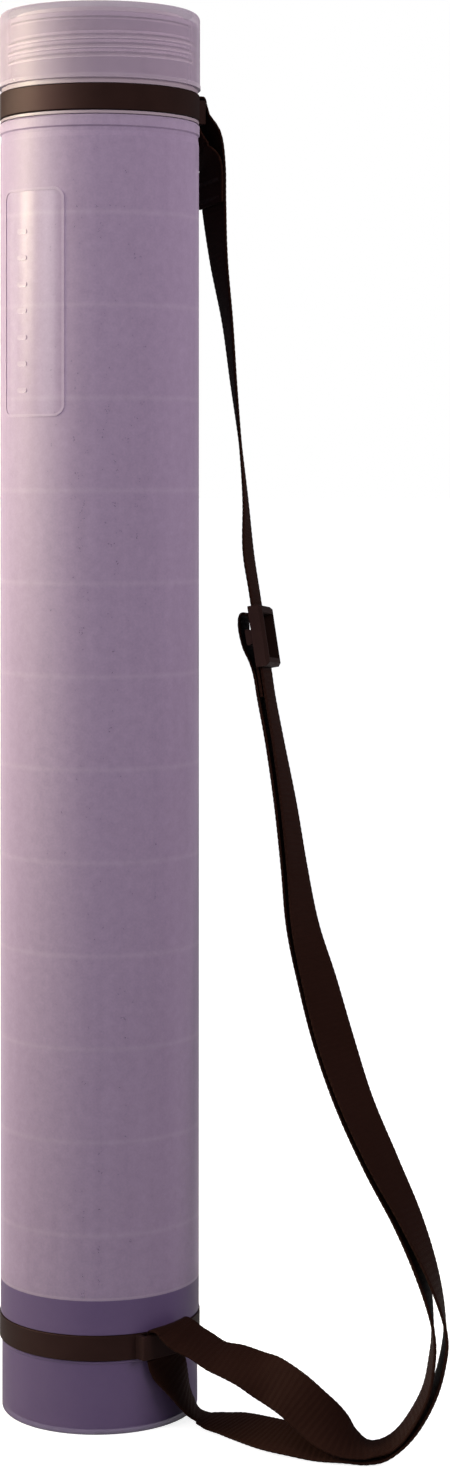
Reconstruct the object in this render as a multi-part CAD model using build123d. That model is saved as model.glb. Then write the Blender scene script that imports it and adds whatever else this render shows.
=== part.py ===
"""Telescoping portfolio tube with a screw lid and an adjustable webbing shoulder strap.

Millimetres, +Z up.  The origin is the centre of the base's underside, on the tube's axis.
The front is -Y.  The strap hangs on the +X side and its bend rests on the ground, z = 0.
"""
import os
from math import cos, radians, sin

from build123d import *

# ---- driving dimensions -------------------------------------------------------------------
BODY_RADIUS = 44.0          # outside of the outer tube
CLOSED_HEIGHT = 617.0       # base to lid top, tube pushed in
RIDGE_PITCH = 40.0          # one extension step
RIDGE_COUNT = 12
GAP = 0.3                   # clearance between parts that move past each other

# outer tube
OUTER_TOP = 568.0
OUTER_BORE = 42.6
FOOT_RADIUS = 43.3          # slightly slimmer foot, so the lower ring goes on from below
FOOT_BORE = 41.6            # the wall is thicker inside, below the inner tube's travel
FOOT_BORE_TOP = 50.0
BASE_THICKNESS = 2.2
BASE_EDGE = 1.8
RING_SEAT_RADIUS = 43.0
RETAINING_BEAD = 43.7
LIP_RADIUS = 44.3
LIP_HEIGHT = 5.4
LIP_NECK = 0.35             # shallow neck under the lip
MOUTH_BORE = 42.35          # bead in the mouth that the ridges click past

# inner tube
INNER_RADIUS = 41.6
INNER_BORE = 40.4
INNER_BOTTOM = 58.0
RIDGE_RADIUS = 42.05
RIDGE_HALF = 0.9
TOP_RIDGE_Z = 527.0
COLLAR_RADIUS = 44.0
COLLAR_Z = (OUTER_TOP + GAP, 569.5)
UPPER_SEAT_RADIUS = 42.2
FLANGE_RADIUS = 43.6
FLANGE_Z = (581.5, 583.3)
NECK_TOP = 610.0

# screw thread between neck and lid: one start, right-handed
THREAD_PITCH = 4.0
THREAD_TURNS = 3.4
THREAD_TOP = 606.0
THREAD_ROOT_HALF = 0.85
THREAD_CREST_HALF = 0.45
THREAD_BITE = 0.25          # how far the thread is rooted in its wall
NECK_CREST = 42.75
LID_CREST = 42.0

# lid and its seal
LID_RADIUS = 44.5
LID_BORE = 43.15
LID_BOTTOM = 583.7
LID_TOP_THICKNESS = 2.0
LID_EDGE = 2.8
LID_BEAD = 0.25
SEAL_SEAT = (37.5, 612.3)   # inner radius and underside of the lid's seal boss
SEAL_BORE = 38.0
SEAL_RADIUS = 42.9
SEAL_THICKNESS = 1.7

# strap rings, each with a bar that the webbing goes round
UPPER_RING = {"z": (569.9, 581.2), "bore": 42.55, "radius": 44.3, "bar": (46.1, 47.9), "lug_deg": 123.0}
LOWER_RING = {"z": (32.2, 43.0), "bore": 43.35, "radius": 44.4, "bar": (46.3, 48.1), "lug_deg": 40.0}
LUG_HALF = 13.2
PILLAR = 2.2
LUG_CORNER = 1.2
RING_EDGE = 0.4             # rounding of the ring's outer edges and the lug's rims
BAR_INSET = 0.3             # the bar is a little lower than its ring
PILLAR_REACH = 41.0         # pillars are drawn from here out, then bored out

# label frame moulded on the outer tube
LABEL_DEG = -42.4
LABEL_SIZE = (36.8, 99.0)
LABEL_Z = 487.5
LABEL_LINE = 1.1
LABEL_CORNER = 5.0
RELIEF = 0.35
MARK_COUNT = 7
MARK_PITCH = 11.5
MARK_SIZE = (6.4, 2.2)
MARK_OFFSET = -4.0
MARK_Z = 484.0

# webbing and adjuster
WEB_WIDTH = 20.0
WEB_THICKNESS = 1.3
WEB_STEPS = 2               # facets between two stations
ADJUSTER_CENTRE = (71.6, -6.2, 341.0)
ADJUSTER_AXIS = (-0.15, 0.125, 1.0)     # along the webbing, upwards
ADJUSTER_YAW = 12.0                     # the webbing's width, turned from +Y towards +X
ADJUSTER_SIZE = (26.0, 27.0, 6.2)
ADJUSTER_RAIL = 2.4
ADJUSTER_END_BAR = 3.5
ADJUSTER_FACE_Z = (-1.6, 4.6)
ADJUSTER_CHANNEL_Z = 1.0
ADJUSTER_BEVEL = 1.4
CENTRE_BAR = (7.0, -4.3, -2.4)          # height along the webbing, back face, front face
STRAND_GAP = 3.45                       # between the two strands just under the adjuster
TAIL_GAP = 1.75                         # between a strap and the tail sewn to it
STITCH_WIDTH = 15.0
STITCH_ROW = 1.2
STITCH_PROUD = 0.3
TOP_STITCH_ROWS = (-6.0, 2.0)
END_STITCH_ROWS = (-24.0, -16.0)


# ---- helpers ------------------------------------------------------------------------------
def turned(outline):
    """Solid of revolution about Z from (radius, z) corners."""
    face = make_face(Plane.XZ * Polyline(*outline, close=True))
    return revolve(face, Axis.Z)


def tube(bore, radius, low, high):
    return turned([(bore, low), (radius, low), (radius, high), (bore, high)])


def helical_thread(wall, crest, top, turns):
    """Trapezoid thread on a wall radius, pointing out or in; it ends at height `top`."""
    root = wall - THREAD_BITE if crest > wall else wall + THREAD_BITE
    height = turns * THREAD_PITCH
    start = top - height
    path = Pos(0, 0, start) * Helix(THREAD_PITCH, height, wall)
    section = make_face(Polyline(
        (root, 0, start - THREAD_ROOT_HALF),
        (crest, 0, start - THREAD_CREST_HALF),
        (crest, 0, start + THREAD_CREST_HALF),
        (root, 0, start + THREAD_ROOT_HALF),
        close=True))
    return sweep(section, path, is_frenet=True)


def blend_points(points, steps):
    """Catmull-Rom samples through the given stations, ends included."""
    first = [2 * a - b for a, b in zip(points[0], points[1])]
    last = [2 * a - b for a, b in zip(points[-1], points[-2])]
    chain = [first, *points, last]
    samples = []
    for p0, p1, p2, p3 in zip(chain, chain[1:], chain[2:], chain[3:]):
        for step in range(steps):
            t = step / steps
            samples.append([
                0.5 * (2 * b + (c - a) * t + (2 * a - 5 * b + 4 * c - d) * t**2
                       + (3 * b - a - 3 * c + d) * t**3)
                for a, b, c, d in zip(p0, p1, p2, p3)])
    samples.append(list(points[-1]))
    return samples


def web_frames(stations, steps):
    """(centre, side, normal) along a webbing run; stations hold centre and side direction."""
    samples = blend_points(stations, steps)
    centres = [Vector(*s[:3]) for s in samples]
    frames = []
    for i, sample in enumerate(samples):
        ahead = centres[min(i + 1, len(centres) - 1)]
        behind = centres[max(i - 1, 0)]
        run = (ahead - behind).normalized()
        side = Vector(*sample[3:])
        side = (side - run * side.dot(run)).normalized()
        frames.append((centres[i], side, side.cross(run)))
    return frames


def web_solid(frames):
    """Closed webbing run of flat facets through the frames."""
    half = WEB_WIDTH / 2
    thick = WEB_THICKNESS / 2
    corners = ((-half, -thick), (half, -thick), (half, thick), (-half, thick))
    sections = [[c + s * u + n * v for u, v in corners] for c, s, n in frames]

    def facet(*points):
        return Face(Wire.make_polygon(points, close=True))

    faces = [facet(*sections[0]), facet(*reversed(sections[-1]))]
    for a, b in zip(sections, sections[1:]):
        for i in range(4):
            j = (i + 1) % 4
            faces.append(facet(a[i], b[i], b[j]))
            faces.append(facet(a[i], b[j], a[j]))
    return Solid(Shell(faces))


def yaw(degrees):
    """Level side direction: 0 is +Y, positive turns towards +X."""
    return (sin(radians(degrees)), cos(radians(degrees)), 0.0)


def lug_frame(ring):
    """Outward and sideways unit vectors at a ring's lug."""
    angle = radians(ring["lug_deg"])
    return Vector(sin(angle), -cos(angle), 0), Vector(cos(angle), sin(angle), 0)


def at_lug(ring, out, along, z):
    """Centre point given by distance out from the axis and along the lug."""
    outward, sideways = lug_frame(ring)
    point = outward * out + sideways * along
    return (point.X, point.Y, z)


# ---- tubes --------------------------------------------------------------------------------
def make_outer_tube():
    ring_low, ring_high = LOWER_RING["z"]
    seat_low = ring_low - GAP
    seat_high = ring_high + GAP
    lip_low = OUTER_TOP - LIP_HEIGHT
    body = turned([
        (0, 0),
        (FOOT_RADIUS, 0),
        (FOOT_RADIUS, seat_low - 1.4),
        (RETAINING_BEAD, seat_low - 0.7),
        (RETAINING_BEAD, seat_low),
        (RING_SEAT_RADIUS, seat_low),
        (RING_SEAT_RADIUS, seat_high),
        (BODY_RADIUS, seat_high),
        (BODY_RADIUS, lip_low - 4.0),
        (BODY_RADIUS - LIP_NECK, lip_low - 1.5),
        (BODY_RADIUS - LIP_NECK, lip_low),
        (LIP_RADIUS, lip_low + 0.7),
        (LIP_RADIUS, OUTER_TOP - 0.8),
        (LIP_RADIUS - 0.7, OUTER_TOP),
        (MOUTH_BORE + 0.2, OUTER_TOP),
        (MOUTH_BORE, OUTER_TOP - 0.4),
        (MOUTH_BORE, OUTER_TOP - 2.4),
        (OUTER_BORE, OUTER_TOP - 3.4),
        (OUTER_BORE, FOOT_BORE_TOP + 2.0),
        (FOOT_BORE, FOOT_BORE_TOP),
        (FOOT_BORE, BASE_THICKNESS),
        (0, BASE_THICKNESS),
    ])
    base_edge = body.edges().filter_by(GeomType.CIRCLE).group_by(Axis.Z)[0]
    body = fillet(base_edge, BASE_EDGE)
    return body + make_label()


def make_label():
    """Raised label frame and plain dashes, wrapped on the tube's surface."""
    outward = Vector(sin(radians(LABEL_DEG)), -cos(radians(LABEL_DEG)), 0)
    plane = Plane(origin=(0, 0, LABEL_Z), x_dir=Vector(-outward.Y, outward.X, 0), z_dir=outward)
    width, height = LABEL_SIZE
    frame = RectangleRounded(width, height, LABEL_CORNER)
    frame -= RectangleRounded(width - 2 * LABEL_LINE, height - 2 * LABEL_LINE, LABEL_CORNER - LABEL_LINE)
    marks = [Pos(MARK_OFFSET, MARK_Z - LABEL_Z + (i - (MARK_COUNT - 1) / 2) * MARK_PITCH)
             * SlotOverall(*MARK_SIZE) for i in range(MARK_COUNT)]
    shapes = extrude(plane * (frame + marks), BODY_RADIUS + 5)
    low = LABEL_Z - height
    skin = tube(BODY_RADIUS - 0.3, BODY_RADIUS + RELIEF, low, low + 2 * height)
    return shapes & skin


def make_inner_tube():
    outline = [(INNER_BORE, INNER_BOTTOM), (INNER_RADIUS - 0.3, INNER_BOTTOM)]
    outline += [(INNER_RADIUS, INNER_BOTTOM + 0.6)]
    for i in reversed(range(RIDGE_COUNT)):
        z = TOP_RIDGE_Z - i * RIDGE_PITCH
        outline += [(INNER_RADIUS, z - RIDGE_HALF), (RIDGE_RADIUS, z - RIDGE_HALF / 2)]
        outline += [(RIDGE_RADIUS, z + RIDGE_HALF / 2), (INNER_RADIUS, z + RIDGE_HALF)]
    collar_low, collar_high = COLLAR_Z
    flange_low, flange_high = FLANGE_Z
    outline += [
        (INNER_RADIUS, collar_low),
        (COLLAR_RADIUS, collar_low),
        (COLLAR_RADIUS, collar_high),
        (UPPER_SEAT_RADIUS, collar_high),
        (UPPER_SEAT_RADIUS, flange_low),
        (FLANGE_RADIUS, flange_low),
        (FLANGE_RADIUS, flange_high),
        (INNER_RADIUS, flange_high),
        (INNER_RADIUS, NECK_TOP - 0.4),
        (INNER_RADIUS - 0.4, NECK_TOP),
        (INNER_BORE + 0.3, NECK_TOP),
        (INNER_BORE, NECK_TOP - 0.3),
    ]
    return turned(outline) + helical_thread(INNER_RADIUS, NECK_CREST, THREAD_TOP, THREAD_TURNS)


def make_lid():
    ceiling = CLOSED_HEIGHT - LID_TOP_THICKNESS
    boss_bore, boss_low = SEAL_SEAT
    body = turned([
        (0, ceiling),
        (boss_bore, ceiling),
        (boss_bore, boss_low),
        (LID_BORE, boss_low),
        (LID_BORE, LID_BOTTOM),
        (LID_RADIUS + LID_BEAD, LID_BOTTOM),
        (LID_RADIUS + LID_BEAD, LID_BOTTOM + 1.6),
        (LID_RADIUS, LID_BOTTOM + 1.9),
        (LID_RADIUS, CLOSED_HEIGHT),
        (0, CLOSED_HEIGHT),
    ])
    top_edge = body.edges().filter_by(GeomType.CIRCLE).group_by(Axis.Z)[-1]
    body = fillet(top_edge, LID_EDGE)
    thread_top = THREAD_TOP - THREAD_PITCH / 2
    return body + helical_thread(LID_BORE, LID_CREST, thread_top, THREAD_TURNS)


def make_lid_seal():
    low = NECK_TOP + GAP
    return tube(SEAL_BORE, SEAL_RADIUS, low, low + SEAL_THICKNESS)


# ---- strap rings and adjuster ---------------------------------------------------------------
def make_ring(ring):
    low, high = ring["z"]
    bar_inner, bar_outer = ring["bar"]
    outward, sideways = lug_frame(ring)
    middle = (low + high) / 2
    plane = Plane(origin=(0, 0, middle), x_dir=outward, z_dir=(0, 0, 1))
    bar_height = high - low - 2 * BAR_INSET
    depth = bar_outer - PILLAR_REACH
    lug = plane * Pos((PILLAR_REACH + bar_outer) / 2, 0, 0) * Box(depth, 2 * LUG_HALF, bar_height)
    corners = lug.edges().filter_by(Axis.Z).sort_by(lambda e: -e.center().dot(outward))[:2]
    lug = fillet(corners, LUG_CORNER)
    rims = lug.faces().sort_by(Axis.Z)
    lug = fillet(rims[0].edges() + rims[-1].edges(), RING_EDGE)
    slot_depth = bar_inner - PILLAR_REACH + 2
    slot_centre = bar_inner - slot_depth / 2
    lug -= plane * Pos(slot_centre, 0, 0) * Box(slot_depth, 2 * (LUG_HALF - PILLAR), 2 * bar_height)
    lug -= Pos(0, 0, middle) * Cylinder((ring["bore"] + ring["radius"]) / 2, 2 * bar_height)
    band = tube(ring["bore"], ring["radius"], low, high)
    outer_edges = band.edges().filter_by(GeomType.CIRCLE).sort_by(lambda e: e.radius)[-2:]
    return fillet(outer_edges, RING_EDGE) + lug


def adjuster_plane():
    """Local x is across the webbing, y along it upwards, z out of its outer face."""
    along = Vector(*ADJUSTER_AXIS).normalized()
    side = Vector(*yaw(ADJUSTER_YAW))
    side = (side - along * side.dot(along)).normalized()
    return Plane(origin=ADJUSTER_CENTRE, x_dir=side, z_dir=side.cross(along))


def make_adjuster():
    width, height, depth = ADJUSTER_SIZE
    back, front = ADJUSTER_FACE_Z
    bar_height, bar_back, bar_front = CENTRE_BAR
    window_width = width - 2 * ADJUSTER_RAIL
    window_height = height - 2 * ADJUSTER_END_BAR
    block = Pos(0, 0, (back + front) / 2) * Box(width, height, depth)
    block = chamfer(block.faces().sort_by(Axis.Z)[-1].edges(), ADJUSTER_BEVEL)
    block = fillet(block.faces().sort_by(Axis.Z)[0].edges(), 0.5)
    channel = ADJUSTER_CHANNEL_Z - back + 1
    block -= Pos(0, 0, ADJUSTER_CHANNEL_Z - channel / 2) * Box(window_width, height + 2, channel)
    block -= Box(window_width, window_height, 4 * depth)
    bar_depth = bar_front - bar_back
    bar = Pos(0, 0, (bar_front + bar_back) / 2) * Box(width - 0.8, bar_height, bar_depth)
    bar = fillet(bar.edges().filter_by(Axis.X), 0.7)
    cheek_height = bar_height - 1.0
    cheek_depth = back + 0.8 - bar_back - 0.4
    for side in (-1, 1):
        cheek = Box(ADJUSTER_RAIL - 0.4, cheek_height, cheek_depth)
        block += Pos(side * (width - ADJUSTER_RAIL - 0.4) / 2, 0, bar_back + 0.4 + cheek_depth / 2) * cheek
    return adjuster_plane() * (block + bar)


# ---- webbing route --------------------------------------------------------------------------
# Each station is a centre point and a side direction, chosen by hand along the strap.
def straight_station(distance, offset=0.0):
    """Point on the straight run through the adjuster; offset is out of the outer face."""
    plane = adjuster_plane()
    point = plane.origin + plane.y_dir * distance + plane.z_dir * offset
    return (*point, *plane.x_dir)


TOP_SIDE = yaw(90 - UPPER_RING["lug_deg"])
STRAIGHT_TOP = 38.5
STRAIGHT_LOW = -27.5
LOWER_SIDE = (cos(radians(LOWER_RING["lug_deg"])), sin(radians(LOWER_RING["lug_deg"])), 0.0)
WEB_SHIFT = 0.8             # the webbing sits a little to one side in the lower lug
LOWER_SLOT = 45.45

TOP_LOOP = [
    (49.3, 18.0, 534, *yaw(-32)),
    (48.6, 20.0, 551, *yaw(-34)),
    (*at_lug(UPPER_RING, 49.3, -6.0, 557.5), *TOP_SIDE),
    (*at_lug(UPPER_RING, 46.6, -2.2, 564.5), *TOP_SIDE),
    (*at_lug(UPPER_RING, 45.3, -0.6, 570.5), *TOP_SIDE),
    (*at_lug(UPPER_RING, 45.3, -0.3, 580.8), *TOP_SIDE),
    (*at_lug(UPPER_RING, 47.0, -0.3, 582.5), *TOP_SIDE),
    (*at_lug(UPPER_RING, 48.9, -0.6, 581.2), *TOP_SIDE),
    (*at_lug(UPPER_RING, 49.5, -1.5, 577.0), *TOP_SIDE),
]
SINGLE_RUN = [
    (*at_lug(UPPER_RING, 50.4, -3.6, 572.0), *TOP_SIDE),
    (48.4, 22.5, 564, *yaw(-35)),
    (50.0, 21.0, 551, *yaw(-35)),
    (50.7, 19.0, 534, *yaw(-32)),
    (52.9, 16.0, 509, *yaw(-22)),
    (56.7, 12.0, 482, *yaw(-12)),
    (59.4, 8.0, 455, *yaw(-6)),
    (62.3, 4.2, 428, *yaw(0)),
    (64.7, 1.2, 402, *yaw(5)),
    straight_station(STRAIGHT_TOP),
]
OUTER_STRAND = [
    straight_station(20.0),
    straight_station(0),
    straight_station(-14.0),
    straight_station(STRAIGHT_LOW),
    (79.2, -13.5, 294, *yaw(14)),
    (83.5, -18.5, 268, *yaw(20)),
    (87.0, -24.0, 242, *yaw(26)),
    (90.5, -29.5, 217, *yaw(37)),
    (96.4, -35.5, 194, *yaw(50)),
    (103.0, -42.0, 170, *yaw(55)),
    (111.6, -48.5, 145, *yaw(49)),
    (122.5, -55.0, 121, *yaw(44)),
    (134.5, -61.0, 97, *yaw(30)),
    (143.6, -66.0, 74, *yaw(14)),
    (148.2, -69.5, 54, *yaw(2)),
    (146.8, -71.5, 40, *yaw(0)),
    (142.2, -72.5, 26, *yaw(0)),
    (134.0, -73.0, 12.6, *yaw(0)),
    (124.0, -73.0, 3.8, *yaw(0)),
    (115.0, -72.5, 1.3, 0.0, 1.0, 0.0),
    (106.5, -71.5, 2.4, 0.1, 0.98, 0.10),
    (97.0, -69.5, 4.8, 0.28, 0.86, 0.36),
    (87.0, -66.0, 6.0, 0.46, 0.76, 0.40),
    (77.0, -59.0, 5.6, 0.55, 0.73, 0.36),
    (67.6, -48.8, 4.9, 0.50, 0.82, 0.27),
    (59.4, -38.8, 4.0, 0.40, 0.90, 0.15),
    (52.0, -31.4, 2.9, 0.26, 0.96, 0.02),
    (46.6, -28.6, 2.9, 0.14, 0.98, -0.06),
    (43.2, -27.8, 4.6, 0.10, 0.98, -0.10),
    (40.9, -28.0, 8.0, 0.14, 0.98, -0.04),
    (38.5, -29.3, 12.6, 0.22, 0.96, 0.06),
    (36.1, -30.9, 18.0, 0.38, 0.90, 0.14),
    (33.4, -32.3, 23.6, 0.60, 0.78, 0.14),
    (30.9, -33.6, 28.0, 0.72, 0.68, 0.06),
    (*at_lug(LOWER_RING, LOWER_SLOT, WEB_SHIFT, 32.6), *LOWER_SIDE),
]
BOTTOM_LOOP = [
    (*at_lug(LOWER_RING, LOWER_SLOT, WEB_SHIFT, 37.6), *LOWER_SIDE),
    (*at_lug(LOWER_RING, LOWER_SLOT, WEB_SHIFT, 41.6), *LOWER_SIDE),
    (*at_lug(LOWER_RING, 46.2, WEB_SHIFT, 44.1), *LOWER_SIDE),
    (*at_lug(LOWER_RING, 47.9, 0.9, 45.2), 0.76, 0.62, 0.10),
    (*at_lug(LOWER_RING, 50.6, 1.6, 45.0), 0.75, 0.62, 0.14),
    (36.6, -39.9, 43.2, 0.70, 0.66, 0.22),
    (40.2, -41.0, 41.0, 0.58, 0.75, 0.27),
]
INNER_STRAND = [
    (45.2, -42.6, 38.6, 0.46, 0.83, 0.30),
    (51.9, -46.0, 35.4, 0.37, 0.86, 0.35),
    (59.5, -50.0, 34.0, 0.38, 0.78, 0.48),
    (67.5, -54.5, 31.8, 0.40, 0.69, 0.60),
    (75.9, -60.0, 28.9, 0.45, 0.30, 0.82),
    (84.5, -66.4, 24.8, 0.60, 0.12, 0.76),
    (93.4, -70.6, 18.0, 0.66, 0.20, 0.68),
    (102.5, -73.0, 11.0, 0.45, 0.60, 0.50),
    (110.6, -73.2, 6.2, 0.12, 0.95, 0.25),
    (117.5, -73.0, 4.6, 0.0, 1.0, 0.0),
    (125.2, -73.0, 7.0, 0.0, 1.0, 0.0),
]
END_LOOP = [
    (STRAIGHT_LOW + 3 * GAP, -TAIL_GAP),
    (-8.0, -TAIL_GAP),
    (6.8, -TAIL_GAP),
    (10.4, -3.3),
    (10.2, -6.0),
    (4.8, -7.2),
    (-3.5, -6.6),
    (-10.5, -4.6),
    (-17.0, -3.6),
    (STRAIGHT_LOW + 3 * GAP, -STRAND_GAP),
]
# how far the inner strand runs behind the outer one, from the bend up to the adjuster
INNER_GAPS = (2.4, 3.0, 4.4, 5.2, 4.4, 3.2, 2.8, 2.8, 2.8, 2.8, 2.8, 2.8, 2.8, 3.0, STRAND_GAP)
THROUGH = [*TOP_LOOP, *SINGLE_RUN, *OUTER_STRAND]


def inner_stations():
    """The return strand beside the outer one, from the bend up to the adjuster."""
    first = THROUGH.index(straight_station(STRAIGHT_LOW))
    beside = web_frames(THROUGH, 1)[first:first + len(INNER_GAPS)]
    return [(*(centre + normal * gap), *side)
            for (centre, side, normal), gap in zip(reversed(beside), INNER_GAPS)]


def make_webbing():
    """One continuous strap, cut into runs where it passes from one moving part to the next."""
    runs = {
        "strap_top_loop": TOP_LOOP,
        "strap_single_run": SINGLE_RUN,
        "strap_outer_strand": OUTER_STRAND,
        "strap_bottom_loop": BOTTOM_LOOP,
        "strap_inner_strand": INNER_STRAND + inner_stations(),
    }
    frames = web_frames([station for run in runs.values() for station in run], WEB_STEPS)
    nodes = {}
    first = 0
    done = 0
    for name, run in runs.items():
        done += len(run)
        last = (done - 1) * WEB_STEPS
        nodes[name] = web_solid(frames[first:last + 1])
        first = last
    return nodes


def make_end_loop():
    stations = [straight_station(along, out) for along, out in END_LOOP]
    return web_solid(web_frames(stations, 1))


def make_stitching(plane, rows, depth):
    """Rows of thread across the webbing, sewn right through both layers."""
    return Compound([plane * Pos(0, row, 0) * Box(STITCH_WIDTH, STITCH_ROW, depth) for row in rows])


def make_top_stitching():
    """Holds the strap's tail against the strap below the upper ring."""
    top = Vector(*SINGLE_RUN[2][:3])
    low = Vector(*SINGLE_RUN[3][:3])
    along = (top - low).normalized()
    side = Vector(*SINGLE_RUN[2][3:])
    side = (side - along * side.dot(along)).normalized()
    plane = Plane(origin=(top + low) * 0.5, x_dir=side, z_dir=side.cross(along))
    plane = plane.offset(-TAIL_GAP / 2)
    return make_stitching(plane, TOP_STITCH_ROWS, TAIL_GAP + WEB_THICKNESS + 2 * STITCH_PROUD)


def make_end_stitching():
    """Holds the strap's end on itself below the adjuster."""
    plane = adjuster_plane().offset(-(TAIL_GAP + STRAND_GAP) / 2)
    return make_stitching(plane, END_STITCH_ROWS, STRAND_GAP - TAIL_GAP + WEB_THICKNESS + 2 * STITCH_PROUD)


def build():
    nodes = {
        "outer_tube": make_outer_tube(),
        "inner_tube": make_inner_tube(),
        "lid": make_lid(),
        "lid_seal": make_lid_seal(),
        "upper_ring": make_ring(UPPER_RING),
        "lower_ring": make_ring(LOWER_RING),
        "adjuster": make_adjuster(),
        "strap_end_loop": make_end_loop(),
        "top_stitching": make_top_stitching(),
        "end_stitching": make_end_stitching(),
    }
    nodes.update(make_webbing())
    return nodes


os.makedirs("parts", exist_ok=True)
for name, shape in build().items():
    export_step(shape, f"parts/{name}.step")
    print(name, round(shape.volume), shape.is_valid)
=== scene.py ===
"""Looks of the telescoping portfolio tube: frosted plastic, satin rings, ribbed webbing.

Metres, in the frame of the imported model: +Z up, the front is -Y, the base stands on z = 0.
"""

from collections import namedtuple
from math import ceil, cos, pi, radians, sin

import bmesh
import bpy
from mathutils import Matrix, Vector


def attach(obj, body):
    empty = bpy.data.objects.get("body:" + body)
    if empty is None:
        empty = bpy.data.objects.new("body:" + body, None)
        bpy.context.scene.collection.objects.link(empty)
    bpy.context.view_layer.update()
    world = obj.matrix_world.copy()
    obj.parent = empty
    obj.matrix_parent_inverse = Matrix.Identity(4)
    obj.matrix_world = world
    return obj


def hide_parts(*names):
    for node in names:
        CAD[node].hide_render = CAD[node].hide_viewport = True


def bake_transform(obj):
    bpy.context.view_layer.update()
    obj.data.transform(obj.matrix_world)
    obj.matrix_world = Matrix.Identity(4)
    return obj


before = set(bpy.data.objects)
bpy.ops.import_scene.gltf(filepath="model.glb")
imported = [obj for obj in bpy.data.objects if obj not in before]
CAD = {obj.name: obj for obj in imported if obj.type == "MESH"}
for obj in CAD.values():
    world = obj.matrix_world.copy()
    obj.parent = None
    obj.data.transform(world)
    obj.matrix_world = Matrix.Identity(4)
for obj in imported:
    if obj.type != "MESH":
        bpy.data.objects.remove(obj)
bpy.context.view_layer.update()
MM = 0.001

# ---- view ---------------------------------------------------------------------------------
CAMERA_AT = (0.0556, -1.285, 0.415)
CAMERA_LENS = 70.9
CAMERA_SENSOR = 36.0
CAMERA_SHIFT_Y = -0.18

# ---- surroundings ---------------------------------------------------------------------------
SURROUNDINGS = 0.30
SURROUNDINGS_BEHIND = 0.05
FLOOR_SIZE = 40.0
FLOOR_GLOW = 0.85           # only the camera sees it


# ---- tube, in millimetres ---------------------------------------------------------------------
def height_span(node):
    """Lowest and highest point of a CAD node, to a tenth of a millimetre."""
    heights = [vertex.co.z for vertex in CAD[node].data.vertices]
    return round(min(heights) / MM, 1), round(max(heights) / MM, 1)


SLEEVE_TOP = height_span("outer_tube")[1]
INNER_LOW, INNER_TOP = height_span("inner_tube")
LID_LOW, TUBE_TOP = height_span("lid")
NECK_RIM = INNER_TOP - 1.0
LID_THREAD_LOW = LID_LOW + 4.0
RELIEF_TOP = SLEEVE_TOP - 20.0      # the label's relief is below this and the lip above
INNER_EDGE = 1.2            # height of the inner tube's lower edge, as seen through the wall

# radii that a band of another tone grows between
BEYOND_WALL = (44.05, 44.3)         # the lip and the label's relief
WHOLE_FOOT = (10.0, 11.0)           # all but the middle of the base
OUTER_WALL = (42.0, 43.0)
INNER_WALL = (40.0, 41.0)
INNER_RIDGES = (41.65, 41.9)
NECK_WALL = (39.0, 40.0)
NECK_THREAD = (41.7, 42.5)
LID_THREAD = (43.1, 42.6)           # it grows inwards
LID_BEAD = (44.55, 44.7)

LABEL_DEG = -42.4
LABEL_CHORD = 40.4          # the panel is the wall further out than this in the label's direction
LABEL_LOW = 439.0
LABEL_TOP = 536.0
LABEL_POLISH = 0.34

RIDGE_COUNT = 12
RIDGE_PITCH = 40.0
RIDGE_TOP = 526.0           # the top ridge's ring on the wall, 1 mm below the ridge's middle
RIDGE_LOW = RIDGE_TOP - (RIDGE_COUNT - 1) * RIDGE_PITCH
RIDGE_BLUR = 1.7
RIDGE_SHOW = 0.046

# ---- tones of the frosted plastic -------------------------------------------------------------
THICK = (0.95, 0.88, 0.90, 1)           # relief, ridges, threads and rims
PAINTED_HOLLOW_SHADE = (0.052, 0.029, 0.092, 1)       # painted shade of the hollow foot, where no inner tube stands behind the wall
BARE = (0.23, 0.185, 0.22, 1)           # the inner tube between the mouth and the lid

# ---- webbing ------------------------------------------------------------------------------
WEB_WIDTH = 20.0 * MM
WEB_THICKNESS = 1.3 * MM
RIB_PITCH = 2.65 * MM
RIB_HEIGHT = 0.16 * MM
EDGE_WAVE = 0.4             # share of a rib's height by which the edge stands out at each rib
RIB_SAMPLES = 8             # sections per rib
ROUTE_STEPS = 24            # samples between two stations, before they are spaced evenly
# half of a section: share of the half width, share of the half thickness, share of the rib
WEB_SECTION = (
    (1.0, 0.0, 0.0),
    (0.985, 0.6, 0.1),
    (0.94, 0.95, 0.5),
    (0.86, 0.84, 0.7),
    (0.76, 1.0, 1.0),
    (0.40, 1.04, 1.0),
)


# ---- camera, light and floor ------------------------------------------------------------------
def make_camera():
    camera = bpy.data.cameras.new("camera")
    camera.lens = CAMERA_LENS
    camera.sensor_width = CAMERA_SENSOR
    camera.shift_y = CAMERA_SHIFT_Y
    camera.clip_start = 0.01
    camera.clip_end = 100
    holder = bpy.data.objects.new("camera", camera)
    holder.location = CAMERA_AT
    holder.rotation_euler = (radians(90), 0, 0)
    bpy.context.scene.collection.objects.link(holder)
    bpy.context.scene.camera = holder


def make_light(name, place, target, size, energy, colour, spread, glossy=True):
    """Area light aimed at a target; the ones that aren't glossy leave no reflection."""
    light = bpy.data.lights.new(name, "AREA")
    light.shape = "RECTANGLE"
    light.size, light.size_y = size
    light.energy = energy
    light.color = colour
    light.spread = radians(spread)
    holder = bpy.data.objects.new(name, light)
    holder.location = place
    aim = Vector(target) - Vector(place)
    holder.rotation_euler = aim.to_track_quat("-Z", "Y").to_euler()
    holder.visible_glossy = glossy
    bpy.context.scene.collection.objects.link(holder)


def make_sun(name, direction, angle, strength, colour):
    light = bpy.data.lights.new(name, "SUN")
    light.angle = radians(angle)
    light.energy = strength
    light.color = colour
    holder = bpy.data.objects.new(name, light)
    holder.rotation_euler = Vector(direction).to_track_quat("-Z", "Y").to_euler()
    bpy.context.scene.collection.objects.link(holder)


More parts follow.
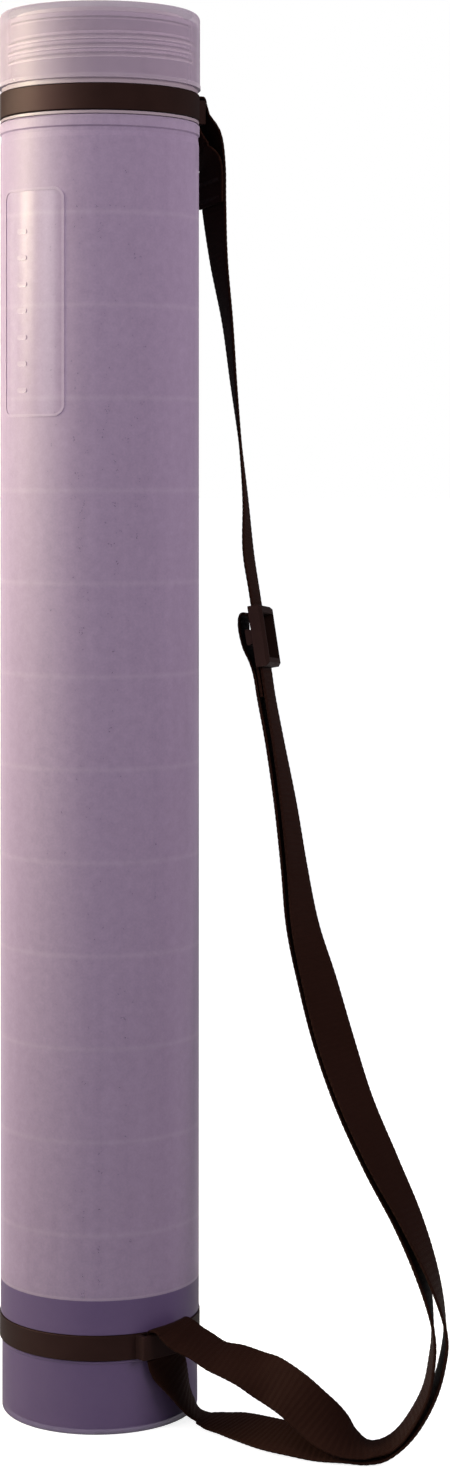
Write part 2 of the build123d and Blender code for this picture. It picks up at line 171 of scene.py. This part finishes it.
def make_lights():
    make_light("key", (-1.05, 0.0, 0.78), (0, 0, 0.46), (0.35, 0.5), 4.0, (1.0, 0.91, 0.62), 66)
    make_light("side", (-1.2, -0.69, 0.83), (0, 0, 0.51), (0.5, 0.8), 3.5, (1.0, 0.95, 0.88), 70)
    make_light("fill", (1.62, -1.12, 1.40), (0, 0, 0.66), (0.8, 1.0), 6.0, (1.0, 0.92, 0.90), 52, False)
    make_light("strip", (-0.97, 0.46, 0.56), (0, 0, 0.50), (0.07, 0.30), 0.16, (1.0, 0.93, 0.74), 60)
    make_light("back", (0.1, 1.7, 0.9), (0, 0, 0.35), (0.8, 0.8), 3.0, (1.0, 0.96, 1.0), 80, False)
    make_sun("top", (0.05, 0.1, -1.0), 40, 0.5, (1.0, 1.0, 1.0))


def make_world():
    """Dim bluish surroundings, darker behind the tube; the camera sees paper white."""
    world = bpy.data.worlds.new("studio")
    world.use_nodes = True
    nodes = world.node_tree.nodes
    links = world.node_tree.links
    background = nodes["Background"]
    background.inputs["Color"].default_value = (0.86, 0.88, 1.0, 1)
    direction = nodes.new("ShaderNodeTexCoord")
    axes = nodes.new("ShaderNodeSeparateXYZ")
    links.new(direction.outputs["Generated"], axes.inputs["Vector"])
    darker = nodes.new("ShaderNodeMapRange")
    links.new(axes.outputs["Y"], darker.inputs["Value"])
    darker.inputs["To Min"].default_value = SURROUNDINGS
    darker.inputs["To Max"].default_value = SURROUNDINGS_BEHIND
    links.new(darker.outputs["Result"], background.inputs["Strength"])
    paper = nodes.new("ShaderNodeBackground")
    paper.inputs["Color"].default_value = (1.0, 1.0, 1.0, 1)
    seen = nodes.new("ShaderNodeLightPath")
    mix = nodes.new("ShaderNodeMixShader")
    links.new(seen.outputs["Is Camera Ray"], mix.inputs["Fac"])
    links.new(background.outputs["Background"], mix.inputs[1])
    links.new(paper.outputs["Background"], mix.inputs[2])
    links.new(mix.outputs["Shader"], nodes["World Output"].inputs["Surface"])
    bpy.context.scene.world = world
    bpy.context.scene.view_settings.view_transform = "Standard"


def make_floor():
    mesh = bpy.data.meshes.new("floor")
    corners = [(x * FLOOR_SIZE, y * FLOOR_SIZE, 0) for x, y in ((-1, -1), (1, -1), (1, 1), (-1, 1))]
    mesh.from_pydata(corners, [], [(0, 1, 2, 3)])
    floor = bpy.data.objects.new("floor", mesh)
    bpy.context.scene.collection.objects.link(floor)
    material = Material("floor_paper")
    seen = material.node("LightPath").outputs["Is Camera Ray"]
    glow = material.math("MULTIPLY", seen, FLOOR_GLOW)
    material.feed(material.shader.inputs["Emission Strength"], glow)
    material.set(**{"Base Color": (0.50, 0.50, 0.51, 1), "Emission Color": (1, 1, 1, 1),
                    "Roughness": 0.9, "Specular IOR Level": 0.1})
    floor.data.materials.append(material.made)


# ---- material helper --------------------------------------------------------------------------
class Material:
    """A node material on one Principled shader."""

    def __init__(self, name):
        self.made = bpy.data.materials.new(name)
        self.made.use_nodes = True
        self.tree = self.made.node_tree
        self.shader = self.tree.nodes["Principled BSDF"]
        self.coordinates = self.node("TexCoord").outputs["Object"]

    def set(self, **values):
        """Values on the shader's own sockets."""
        for socket, value in values.items():
            self.shader.inputs[socket].default_value = value

    def node(self, kind, inputs=None, **settings):
        node = self.tree.nodes.new("ShaderNode" + kind)
        for name, value in settings.items():
            setattr(node, name, value)
        for socket, value in (inputs or {}).items():
            self.feed(node.inputs[socket], value)
        return node

    def feed(self, socket, value):
        if isinstance(value, bpy.types.NodeSocket):
            self.tree.links.new(value, socket)
        else:
            socket.default_value = value

    def math(self, operation, *values):
        node = self.node("Math", dict(enumerate(values)), operation=operation)
        return node.outputs[0]

    def stretch(self, scale, coordinates=None):
        """Coordinates times a scale for each axis."""
        source = coordinates or self.coordinates
        node = self.node("VectorMath", {0: source, 1: scale}, operation="MULTIPLY")
        return node.outputs[0]

    def noise(self, scale, detail=3.0, coordinates=None):
        """Noise from 0 to 1; scale is a number, or one for each axis, in features a metre."""
        axes = scale if hasattr(scale, "__len__") else (scale,) * 3
        place = self.stretch(axes, coordinates)
        node = self.node("TexNoise", {"Vector": place, "Scale": 1.0, "Detail": detail})
        return node.outputs["Fac"]

    def between(self, value, low, high):
        """Value from 0 to 1, spread from low to high."""
        node = self.node("MapRange", {"Value": value, "To Min": low, "To Max": high})
        return node.outputs["Result"]

    def height(self):
        return self.node("SeparateXYZ", {0: self.coordinates}).outputs["Z"]

    def within(self, low, high):
        """1 between two heights in millimetres, 0 elsewhere."""
        height = self.height()
        above = self.math("GREATER_THAN", height, low * MM)
        below = self.math("LESS_THAN", height, high * MM)
        return self.math("MULTIPLY", above, below)

    def mix(self, share, first, second):
        node = self.node("Mix", data_type="RGBA")
        for name, value in (("Factor_Float", share), ("A_Color", first), ("B_Color", second)):
            socket = next(s for s in node.inputs if s.identifier == name)
            self.feed(socket, value)
        return next(s for s in node.outputs if s.identifier == "Result_Color")

    def see_through(self, tint, cover):
        """Shows what lies behind, tinted, and less of it towards grazing angles."""
        grazing = self.node("LayerWeight", {"Blend": 0.5}).outputs["Facing"]
        grazing = self.math("POWER", grazing, 3.0)
        share = self.math("MULTIPLY_ADD", grazing, self.math("SUBTRACT", 1.0, cover), cover)
        clear = self.node("BsdfTransparent", {"Color": tint}).outputs["BSDF"]
        mix = self.node("MixShader", {0: share, 1: clear, 2: self.shader.outputs["BSDF"]})
        self.feed(self.tree.nodes["Material Output"].inputs["Surface"], mix.outputs["Shader"])

    def bump(self, height, distance, strength=1.0):
        node = self.node("Bump", {"Height": height, "Distance": distance, "Strength": strength})
        self.feed(self.shader.inputs["Normal"], node.outputs["Normal"])


# ---- materials ----------------------------------------------------------------------------
# a part of another tone, which grows between two radii and lies between two heights
Band = namedtuple("Band", "colour share cover radii heights")


def frosted_plastic(name, deep, pale, tint, cover, bands):
    """Milky translucent polypropylene, a little mottled, with faint streaks along the tube.

    Cover is how much each face hides, and tint colours what shows through it.
    """
    material = Material(name)
    mottle = material.noise(260, detail=5)
    streak = material.noise((160, 160, 4), detail=2)
    speck = material.noise(1100, detail=1)
    tone = material.math("MULTIPLY_ADD", streak, 0.35, material.math("MULTIPLY", mottle, 0.65))
    tone = material.math("MULTIPLY_ADD", material.math("SUBTRACT", speck, 0.5), 0.5, tone)
    colour = material.mix(tone, deep, pale)
    flat = material.stretch((1, 1, 0))
    radius = material.node("VectorMath", {0: flat}, operation="LENGTH").outputs["Value"]
    hidden = cover
    for band in bands:
        start, full = band.radii
        grown = material.node(
            "MapRange", {"Value": radius, "From Min": start * MM, "From Max": full * MM})
        inside = material.within(*band.heights)
        amount = material.math("MULTIPLY", grown.outputs["Result"], inside)
        hidden = material.math("MULTIPLY_ADD", amount, band.cover - cover, hidden)
        colour = material.mix(material.math("MULTIPLY", amount, band.share), colour, band.colour)
    material.feed(material.shader.inputs["Base Color"], colour)
    material.feed(material.shader.inputs["Roughness"], material.between(mottle, 0.40, 0.52))
    material.set(**{"IOR": 1.49, "Specular IOR Level": 0.35})
    grain = material.noise(1500, detail=2)
    material.bump(grain, 0.03 * MM, 0.5)
    material.see_through(tint, hidden)
    return material


def polish_label(material):
    """The label's panel is moulded smoother than the tube around it."""
    flat = material.stretch((1, 1, 0))
    facing = (sin(radians(LABEL_DEG)), -cos(radians(LABEL_DEG)), 0)
    toward = material.node("VectorMath", {0: flat, 1: facing}, operation="DOT_PRODUCT")
    panel = material.math("GREATER_THAN", toward.outputs["Value"], LABEL_CHORD * MM)
    panel = material.math("MULTIPLY", panel, material.within(LABEL_LOW, LABEL_TOP))
    roughness = material.shader.inputs["Roughness"]
    matte = roughness.links[0].from_socket
    smoother = material.math("MULTIPLY_ADD", panel, -LABEL_POLISH, 1.0)
    material.feed(roughness, material.math("MULTIPLY", matte, smoother))


def show_ridges(material):
    """Faint paler rings at the heights of the inner tube's ridges, as if seen through the wall."""
    from_top = material.math("SUBTRACT", material.height(), RIDGE_TOP * MM)
    away = material.math("PINGPONG", from_top, RIDGE_PITCH * MM / 2)
    ring = material.node(
        "MapRange",
        {"Value": away, "From Min": RIDGE_BLUR * MM, "From Max": 0.0, "To Max": RIDGE_SHOW})
    inside = material.within(RIDGE_LOW - RIDGE_BLUR, RIDGE_TOP + RIDGE_BLUR)
    amount = material.math("MULTIPLY", ring.outputs["Result"], inside)
    base = material.shader.inputs["Base Color"]
    material.feed(base, material.mix(amount, base.links[0].from_socket, THICK))


def satin_plastic(name):
    """Near-black moulded plastic with a brown cast and a fine spark-eroded grain."""
    material = Material(name)
    patches = material.noise(90, detail=4)
    grain = material.noise(2400, detail=2)
    colour = material.mix(patches, (0.0075, 0.0036, 0.0028, 1), (0.014, 0.0068, 0.0054, 1))
    material.feed(material.shader.inputs["Base Color"], colour)
    material.feed(material.shader.inputs["Roughness"], material.between(patches, 0.52, 0.64))
    material.set(**{"IOR": 1.5, "Specular IOR Level": 0.16, "Specular Tint": (1.0, 0.52, 0.56, 1)})
    material.bump(grain, 0.04 * MM, 0.6)
    return material


def foam(name):
    material = Material(name)
    cells = material.noise(1100, detail=3)
    material.feed(
        material.shader.inputs["Base Color"],
        material.mix(cells, (0.50, 0.46, 0.50, 1), (0.68, 0.64, 0.68, 1)))
    material.set(Roughness=0.85)
    material.bump(cells, 0.15 * MM, 0.8)
    return material


def woven_webbing(name):
    """Ribbed weave: rows of warp floats across each rib, fine fibres, slightly paler crowns."""
    material = Material(name)
    weave = material.node("Attribute", attribute_name="weave").outputs["Vector"]
    in_mm = material.stretch((1 / MM,) * 3, weave)
    floats = material.node(
        "TexBrick",
        {"Vector": in_mm, "Scale": 1.0, "Brick Width": 0.95, "Row Height": RIB_PITCH / MM / 2,
         "Mortar Size": 0.12, "Mortar Smooth": 1.0, "Bias": 0.0},
        offset=0.5)
    yarn = material.math("SUBTRACT", 1.0, floats.outputs["Fac"])
    fibres = material.noise((9000, 1400, 9000), detail=2, coordinates=weave)
    fading = material.noise(35, detail=3)
    tone = material.math("MULTIPLY_ADD", yarn, 0.45, material.math("MULTIPLY", fading, 0.4))
    tone = material.math("MULTIPLY_ADD", fibres, 0.25, tone)
    colour = material.mix(tone, (0.0045, 0.0015, 0.0009, 1), (0.0150, 0.0060, 0.0044, 1))
    material.feed(material.shader.inputs["Base Color"], colour)
    material.feed(material.shader.inputs["Roughness"], material.between(fibres, 0.50, 0.72))
    material.set(**{"Specular IOR Level": 0.03, "Specular Tint": (1.0, 0.6, 0.55, 1),
                    "Sheen Weight": 0.003, "Sheen Roughness": 0.4, "Sheen Tint": (1.0, 0.7, 0.6, 1)})
    height = material.math("MULTIPLY_ADD", fibres, 0.3, yarn)
    material.bump(height, 0.10 * MM, 0.7)
    return material


def sewing_thread(name):
    material = Material(name)
    twist = material.noise(4000, detail=1)
    colour = material.mix(twist, (0.008, 0.0036, 0.0028, 1), (0.026, 0.012, 0.0095, 1))
    material.feed(material.shader.inputs["Base Color"], colour)
    material.set(**{"Roughness": 0.6, "Specular IOR Level": 0.2})
    material.bump(twist, 0.05 * MM, 0.8)
    return material


def dress(node, material):
    """Gives a CAD node its material."""
    mesh = CAD[node].data
    mesh.materials.clear()
    mesh.materials.append(material.made)


# ---- webbing route --------------------------------------------------------------------------
# The same stations as the strap's solids: a centre point and a side direction each.
LUG_DEG = {"upper": 123.0, "lower": 40.0}
ADJUSTER_CENTRE = Vector((71.6, -6.2, 341.0)) * MM
ADJUSTER_AXIS = Vector((-0.15, 0.125, 1.0)).normalized()
ADJUSTER_YAW = 12.0
STRAND_GAP = 3.45           # between the two strands just under the adjuster
TAIL_GAP = 1.75             # between a strap and the tail sewn to it
GAP = 0.3

# ---- bar tacks ------------------------------------------------------------------------------
TACK_WIDTH = 15.0 * MM
TACK_STITCHES = 15          # threads side by side in a row
STITCH_LENGTH = 2.2 * MM
STITCH_LEAN = 0.5 * MM
STITCH_ARCH = 0.45 * MM     # how far a thread's middle stands above its ends
THREAD_RADIUS = 0.26 * MM
THREAD_TAPER = 0.6          # share of the radius that is left at a thread's ends
THREAD_RINGS = 6
THREAD_SIDES = 6
TOP_TACKS = (-6.0, 2.0)     # heights of the rows, along the webbing
END_TACKS = (-24.0, -16.0)


def yaw(degrees):
    """Level side direction: 0 is +Y, positive turns towards +X."""
    return Vector((sin(radians(degrees)), cos(radians(degrees)), 0.0))


def station(x, y, z, side):
    """Millimetres to a station in metres."""
    return Vector((x, y, z)) * MM, Vector(side)


def lug_axes(ring):
    angle = radians(LUG_DEG[ring])
    return Vector((sin(angle), -cos(angle), 0)), Vector((cos(angle), sin(angle), 0))


def lug_station(ring, out, along, z, side):
    """Station at a ring's lug, by distance out from the tube's axis and along the lug."""
    outward, sideways = lug_axes(ring)
    centre = outward * out + sideways * along + Vector((0, 0, z))
    return centre * MM, Vector(side)


def adjuster_axes():
    """Across the webbing, along it upwards, and out of the adjuster's outer face."""
    side = yaw(ADJUSTER_YAW)
    side = (side - ADJUSTER_AXIS * side.dot(ADJUSTER_AXIS)).normalized()
    return side, ADJUSTER_AXIS, side.cross(ADJUSTER_AXIS)


def straight_station(distance, offset=0.0):
    """Point on the straight run through the adjuster; offset is out of the outer face."""
    side, along, out = adjuster_axes()
    return ADJUSTER_CENTRE + (along * distance + out * offset) * MM, side


TOP_SIDE = yaw(90 - LUG_DEG["upper"])
LOWER_SIDE = lug_axes("lower")[1]
STRAIGHT_LOW = -27.5        # lower end of the straight run, from the adjuster's centre
LOWER_SLOT = 45.45          # the webbing behind the lower ring's bar, from the tube's axis
WEB_SHIFT = 0.8             # the webbing sits a little to one side in the lower lug

TOP_LOOP = [
    station(49.3, 18.0, 534, yaw(-32)),
    station(48.6, 20.0, 551, yaw(-34)),
    lug_station("upper", 49.3, -6.0, 557.5, TOP_SIDE),
    lug_station("upper", 46.6, -2.2, 564.5, TOP_SIDE),
    lug_station("upper", 45.3, -0.6, 570.5, TOP_SIDE),
    lug_station("upper", 45.3, -0.3, 580.8, TOP_SIDE),
    lug_station("upper", 47.0, -0.3, 582.5, TOP_SIDE),
    lug_station("upper", 48.9, -0.6, 581.2, TOP_SIDE),
    lug_station("upper", 49.5, -1.5, 577.0, TOP_SIDE),
]
SINGLE_RUN = [
    lug_station("upper", 50.4, -3.6, 572.0, TOP_SIDE),
    station(48.4, 22.5, 564, yaw(-35)),
    station(50.0, 21.0, 551, yaw(-35)),
    station(50.7, 19.0, 534, yaw(-32)),
    station(52.9, 16.0, 509, yaw(-22)),
    station(56.7, 12.0, 482, yaw(-12)),
    station(59.4, 8.0, 455, yaw(-6)),
    station(62.3, 4.2, 428, yaw(0)),
    station(64.7, 1.2, 402, yaw(5)),
    straight_station(38.5),
]
OUTER_STRAND = [
    straight_station(20.0),
    straight_station(0),
    straight_station(-14.0),
    straight_station(STRAIGHT_LOW),
    station(79.2, -13.5, 294, yaw(14)),
    station(83.5, -18.5, 268, yaw(20)),
    station(87.0, -24.0, 242, yaw(26)),
    station(90.5, -29.5, 217, yaw(37)),
    station(96.4, -35.5, 194, yaw(50)),
    station(103.0, -42.0, 170, yaw(55)),
    station(111.6, -48.5, 145, yaw(49)),
    station(122.5, -55.0, 121, yaw(44)),
    station(134.5, -61.0, 97, yaw(30)),
    station(143.6, -66.0, 74, yaw(14)),
    station(148.2, -69.5, 54, yaw(2)),
    station(146.8, -71.5, 40, yaw(0)),
    station(142.2, -72.5, 26, yaw(0)),
    station(134.0, -73.0, 12.6, yaw(0)),
    station(124.0, -73.0, 3.8, yaw(0)),
    station(115.0, -72.5, 1.3, (0.0, 1.0, 0.0)),
    station(106.5, -71.5, 2.4, (0.1, 0.98, 0.10)),
    station(97.0, -69.5, 4.8, (0.28, 0.86, 0.36)),
    station(87.0, -66.0, 6.0, (0.46, 0.76, 0.40)),
    station(77.0, -59.0, 5.6, (0.55, 0.73, 0.36)),
    station(67.6, -48.8, 4.9, (0.50, 0.82, 0.27)),
    station(59.4, -38.8, 4.0, (0.40, 0.90, 0.15)),
    station(52.0, -31.4, 2.9, (0.26, 0.96, 0.02)),
    station(46.6, -28.6, 2.9, (0.14, 0.98, -0.06)),
    station(43.2, -27.8, 4.6, (0.10, 0.98, -0.10)),
    station(40.9, -28.0, 8.0, (0.14, 0.98, -0.04)),
    station(38.5, -29.3, 12.6, (0.22, 0.96, 0.06)),
    station(36.1, -30.9, 18.0, (0.38, 0.90, 0.14)),
    station(33.4, -32.3, 23.6, (0.60, 0.78, 0.14)),
    station(30.9, -33.6, 28.0, (0.72, 0.68, 0.06)),
    lug_station("lower", LOWER_SLOT, WEB_SHIFT, 32.6, LOWER_SIDE),
]
BOTTOM_LOOP = [
    lug_station("lower", LOWER_SLOT, WEB_SHIFT, 37.6, LOWER_SIDE),
    lug_station("lower", LOWER_SLOT, WEB_SHIFT, 41.6, LOWER_SIDE),
    lug_station("lower", 46.2, WEB_SHIFT, 44.1, LOWER_SIDE),
    lug_station("lower", 47.9, 0.9, 45.2, (0.76, 0.62, 0.10)),
    lug_station("lower", 50.6, 1.6, 45.0, (0.75, 0.62, 0.14)),
    station(36.6, -39.9, 43.2, (0.70, 0.66, 0.22)),
    station(40.2, -41.0, 41.0, (0.58, 0.75, 0.27)),
]
INNER_STRAND = [
    station(45.2, -42.6, 38.6, (0.46, 0.83, 0.30)),
    station(51.9, -46.0, 35.4, (0.37, 0.86, 0.35)),
    station(59.5, -50.0, 34.0, (0.38, 0.78, 0.48)),
    station(67.5, -54.5, 31.8, (0.40, 0.69, 0.60)),
    station(75.9, -60.0, 28.9, (0.45, 0.30, 0.82)),
    station(84.5, -66.4, 24.8, (0.60, 0.12, 0.76)),
    station(93.4, -70.6, 18.0, (0.66, 0.20, 0.68)),
    station(102.5, -73.0, 11.0, (0.45, 0.60, 0.50)),
    station(110.6, -73.2, 6.2, (0.12, 0.95, 0.25)),
    station(117.5, -73.0, 4.6, (0.0, 1.0, 0.0)),
    station(125.2, -73.0, 7.0, (0.0, 1.0, 0.0)),
]
# distance along the straight run, and out of the adjuster's outer face
END_LOOP = [
    (STRAIGHT_LOW + 3 * GAP, -TAIL_GAP),
    (-8.0, -TAIL_GAP),
    (6.8, -TAIL_GAP),
    (10.4, -3.3),
    (10.2, -6.0),
    (4.8, -7.2),
    (-3.5, -6.6),
    (-10.5, -4.6),
    (-17.0, -3.6),
    (STRAIGHT_LOW + 3 * GAP, -STRAND_GAP),
]
# how far the inner strand runs behind the outer one, from the bend up to the adjuster
INNER_GAPS = (2.4, 3.0, 4.4, 5.2, 4.4, 3.2, 2.8, 2.8, 2.8, 2.8, 2.8, 2.8, 2.8, 3.0, STRAND_GAP)
THROUGH = [*TOP_LOOP, *SINGLE_RUN, *OUTER_STRAND]


def blend_stations(stations, steps):
    """Catmull-Rom samples through the stations, ends included."""
    first = [2 * a - b for a, b in zip(stations[0], stations[1])]
    last = [2 * a - b for a, b in zip(stations[-1], stations[-2])]
    chain = [first, *stations, last]
    samples = []
    for p0, p1, p2, p3 in zip(chain, chain[1:], chain[2:], chain[3:]):
        for step in range(steps):
            t = step / steps
            samples.append([
                0.5 * (2 * b + (c - a) * t + (2 * a - 5 * b + 4 * c - d) * t**2
                       + (3 * b - a - 3 * c + d) * t**3)
                for a, b, c, d in zip(p0, p1, p2, p3)])
    samples.append(list(stations[-1]))
    return samples


def web_frames(samples):
    """(centre, side, normal) at each sample of a run."""
    frames = []
    for i, (centre, side) in enumerate(samples):
        ahead = samples[min(i + 1, len(samples) - 1)][0]
        behind = samples[max(i - 1, 0)][0]
        run = (ahead - behind).normalized()
        side = (side - run * side.dot(run)).normalized()
        frames.append((centre, side, side.cross(run)))
    return frames


def return_stations():
    """The return strand beside the outer one, from the bend up to the adjuster."""
    first = THROUGH.index(straight_station(STRAIGHT_LOW))
    beside = web_frames(THROUGH)[first:first + len(INNER_GAPS)]
    return [(centre + normal * gap * MM, side)
            for (centre, side, normal), gap in zip(reversed(beside), INNER_GAPS)]


def evenly(samples):
    """The samples spaced evenly, a whole number of them to each rib."""
    places = [0.0]
    for (a, _), (b, _) in zip(samples, samples[1:]):
        places.append(places[-1] + (b - a).length)
    count = ceil(places[-1] / RIB_PITCH) * RIB_SAMPLES
    spaced = []
    i = 0
    for k in range(count + 1):
        along = places[-1] * k / count
        while i < len(places) - 2 and places[i + 1] < along:
            i += 1
        share = (along - places[i]) / (places[i + 1] - places[i])
        centre = samples[i][0].lerp(samples[i + 1][0], share)
        side = samples[i][1].lerp(samples[i + 1][1], share)
        spaced.append((centre, side))
    return spaced, places[-1]


# ---- webbing mesh ---------------------------------------------------------------------------
def section_points():
    """Closed section of the webbing: (across, through, rib) with the tips once each."""
    right = list(WEB_SECTION)
    left = [(-u, t, r) for u, t, r in reversed(WEB_SECTION)]
    top = right + [(0.0, 1.05, 1.0)] + left
    bottom = [(u, -t, r) for u, t, r in reversed(top[1:-1])]
    return top + bottom


def make_webbing(name, samples, material):
    """Ribbed flat strap through the samples; returns the piece and its length."""
    samples, length = evenly(samples)
    frames = web_frames(samples)
    section = section_points()
    vertices = []
    weave = []
    for k, (centre, side, normal) in enumerate(frames):
        wave = abs(cos(pi * k / RIB_SAMPLES)) * 2 - 1
        along = k / RIB_SAMPLES * RIB_PITCH
        for u, t, rib in section:
            across = u * (WEB_WIDTH / 2 + wave * RIB_HEIGHT * EDGE_WAVE)
            face = 1 if t > 0 else -1 if t < 0 else 0
            through = t * WEB_THICKNESS / 2 + face * rib * wave * RIB_HEIGHT / 2
            vertices.append(centre + side * across + normal * through)
            weave.append((across, along, face * WEB_WIDTH))
    around = len(section)
    faces = []
    for k in range(len(frames) - 1):
        for i in range(around):
            a = k * around + i
            b = k * around + (i + 1) % around
            faces.append((a, b, b + around, a + around))
    faces.append(tuple(reversed(range(around))))
    faces.append(tuple(range((len(frames) - 1) * around, len(frames) * around)))
    mesh = bpy.data.meshes.new(name)
    mesh.from_pydata(vertices, [], faces)
    mesh.update()
    layer = mesh.attributes.new("weave", "FLOAT_VECTOR", "POINT")
    layer.data.foreach_set("vector", [x for point in weave for x in point])
    mesh.shade_smooth()
    mesh.materials.append(material.made)
    piece = bpy.data.objects.new(name, mesh)
    bpy.context.scene.collection.objects.link(piece)
    return piece, length


def make_thread(middle, run, across, out):
    """Vertices and faces of one stitch, an arch of thread that dips into the webbing."""
    vertices = []
    for k in range(THREAD_RINGS):
        share = k / (THREAD_RINGS - 1)
        centre = middle + run * (share - 0.5) + out * (sin(pi * share) - 0.5) * STITCH_ARCH
        radius = THREAD_RADIUS * (THREAD_TAPER + (1 - THREAD_TAPER) * sin(pi * share))
        for i in range(THREAD_SIDES):
            turn = 2 * pi * i / THREAD_SIDES
            vertices.append(centre + (across * cos(turn) + out * sin(turn)) * radius)
    last = len(vertices) - THREAD_SIDES
    faces = [tuple(range(THREAD_SIDES)), tuple(range(last, len(vertices)))]
    for k in range(THREAD_RINGS - 1):
        for i in range(THREAD_SIDES):
            a = k * THREAD_SIDES + i
            b = k * THREAD_SIDES + (i + 1) % THREAD_SIDES
            faces.append((a, b, b + THREAD_SIDES, a + THREAD_SIDES))
    return vertices, faces


def make_tacks(name, body, node, place, rows, layers_gap, material):
    """Rows of stitches on both faces of two layers; place is (middle, across, along)."""
    middle, across, along = place
    out = across.cross(along)
    surface = (layers_gap * MM + WEB_THICKNESS) / 2
    run = along * STITCH_LENGTH + across * STITCH_LEAN
    vertices = []
    faces = []
    for row in rows:
        for i in range(TACK_STITCHES):
            aside = (i / (TACK_STITCHES - 1) - 0.5) * TACK_WIDTH
            for face in (-1, 1):
                centre = middle + along * row * MM + across * aside + out * face * surface
                points, sides = make_thread(centre, run, across, out * face)
                faces.extend(tuple(len(vertices) + v for v in side) for side in sides)
                vertices.extend(points)
    shape = bmesh.new()
    corners = [shape.verts.new(vertex) for vertex in vertices]
    for face in faces:
        shape.faces.new([corners[v] for v in face])
    bmesh.ops.recalc_face_normals(shape, faces=shape.faces)
    mesh = bpy.data.meshes.new(name)
    shape.to_mesh(mesh)
    shape.free()
    mesh.shade_smooth()
    mesh.materials.append(material.made)
    piece = bpy.data.objects.new(name, mesh)
    bpy.context.scene.collection.objects.link(piece)
    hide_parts(node)
    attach(piece, body)


def make_seams(material):
    """Tacks of the strap's tail below the upper ring, and of its end below the adjuster."""
    top = SINGLE_RUN[2][0]
    low = SINGLE_RUN[3][0]
    along = (top - low).normalized()
    across = SINGLE_RUN[2][1]
    across = (across - along * across.dot(along)).normalized()
    middle = (top + low) / 2 - across.cross(along) * TAIL_GAP / 2 * MM
    make_tacks("top_tacks", "upper_ring", "top_stitching", (middle, across, along),
               TOP_TACKS, TAIL_GAP, material)
    across, along, out = adjuster_axes()
    middle = ADJUSTER_CENTRE - out * (TAIL_GAP + STRAND_GAP) / 2 * MM
    make_tacks("end_tacks", "adjuster", "end_stitching", (middle, across, along),
               END_TACKS, STRAND_GAP - TAIL_GAP, material)


def make_straps(material):
    """The strap as two lengths, cut where it is hidden behind the lower ring's bar."""
    inner = INNER_STRAND + return_stations()
    chain = THROUGH + BOTTOM_LOOP + inner
    samples = blend_stations(chain, ROUTE_STEPS)
    cut = (len(THROUGH) - 1) * ROUTE_STEPS
    through, through_length = make_webbing("strap_through", samples[:cut + 1], material)
    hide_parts("strap_top_loop", "strap_single_run", "strap_outer_strand")
    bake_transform(through)

    end_stations = [straight_station(along, out) for along, out in reversed(END_LOOP)]
    end = blend_stations(end_stations, ROUTE_STEPS)
    back, back_length = make_webbing("strap_return", samples[cut:] + end[1:], material)
    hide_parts("strap_bottom_loop", "strap_inner_strand", "strap_end_loop")
    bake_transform(back)
    print("webbing lengths", round(through_length, 3), round(back_length, 3))


make_camera()
make_lights()
make_world()
make_floor()

tube_plastic = frosted_plastic(
    "tube_plastic", deep=(0.236, 0.184, 0.272, 1), pale=(0.362, 0.288, 0.405, 1),
    tint=(0.86, 0.80, 0.90, 1), cover=0.50,
    bands=[
        Band(THICK, 0.09, 0.50, BEYOND_WALL, (0, RELIEF_TOP)),
        Band(THICK, 0.04, 0.50, BEYOND_WALL, (RELIEF_TOP, TUBE_TOP)),
        # the foot's darker, bluer tone is painted shade of the hollow inside, and hides most of what
        # lies behind the wall
        Band(PAINTED_HOLLOW_SHADE, 0.9, 0.88, WHOLE_FOOT, (-1, INNER_LOW)),
        Band(THICK, 0.08, 0.5, OUTER_WALL, (INNER_LOW, INNER_LOW + INNER_EDGE)),
    ])
polish_label(tube_plastic)
show_ridges(tube_plastic)
inner_plastic = frosted_plastic(
    "inner_plastic", deep=(0.33, 0.28, 0.33, 1), pale=(0.47, 0.41, 0.46, 1),
    tint=(0.86, 0.81, 0.86, 1), cover=0.70,
    bands=[
        Band(THICK, 0.12, 0.7, INNER_RIDGES, (0, SLEEVE_TOP)),
        Band(THICK, 0.9, 0.7, NECK_THREAD, (LID_LOW, TUBE_TOP)),
        Band(THICK, 0.8, 0.7, NECK_WALL, (NECK_RIM, TUBE_TOP)),
        Band(BARE, 1.0, 0.9, INNER_WALL, (SLEEVE_TOP, LID_LOW)),
    ])
lid_plastic = frosted_plastic(
    "lid_plastic", deep=(0.24, 0.199, 0.256, 1), pale=(0.355, 0.298, 0.370, 1),
    tint=(0.92, 0.88, 0.93, 1), cover=0.33,
    bands=[
        Band(THICK, 0.12, 0.33, LID_BEAD, (0, TUBE_TOP)),
        Band(THICK, 0.8, 0.33, LID_THREAD, (LID_THREAD_LOW, TUBE_TOP)),
    ])
ring_plastic = satin_plastic("ring_plastic")
webbing = woven_webbing("webbing")
dress("outer_tube", tube_plastic)
dress("inner_tube", inner_plastic)
dress("lid", lid_plastic)
dress("lid_seal", foam("seal_foam"))
for ring in ("upper_ring", "lower_ring", "adjuster"):
    dress(ring, ring_plastic)
make_straps(webbing)
make_seams(sewing_thread("thread"))
